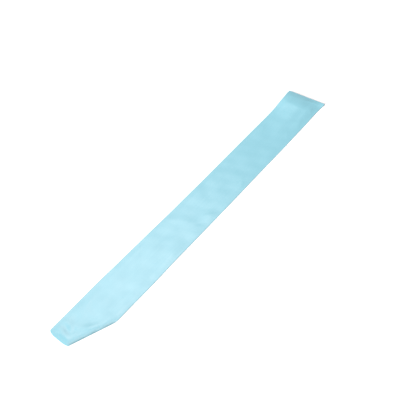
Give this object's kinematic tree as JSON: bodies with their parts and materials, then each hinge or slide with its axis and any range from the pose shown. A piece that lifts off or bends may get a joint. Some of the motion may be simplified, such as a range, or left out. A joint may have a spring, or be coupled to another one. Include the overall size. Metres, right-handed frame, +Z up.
{
  "type": "satin sash",
  "caption": "Satin sash laid flat: a long narrow loop of cloth, front panel on back, with a slanted seam at the shoulder and a short, slanted hip end; worn across the body.",
  "frame": {"origin": "middle of the sash's footprint, on the surface it lies on", "axes": "+X from the hip end to the shoulder end, +Y across to the outer long edge, +Z up from the surface"},
  "size_m": [0.8882, 0.097, 0.0098],
  "materials": {
    "satin": "light blue polyester satin, soft gloss",
    "satin_wrong_side": "wrong side of the satin, dull",
    "sewing_thread": "matching polyester thread"
  },
  "bodies": {
    "root": {"front_panel": "satin", "back_panel": "satin", "hip_seam_allowance": "satin_wrong_side", "shoulder_seam_allowance": "satin_wrong_side"}
  },
  "joints": []
}
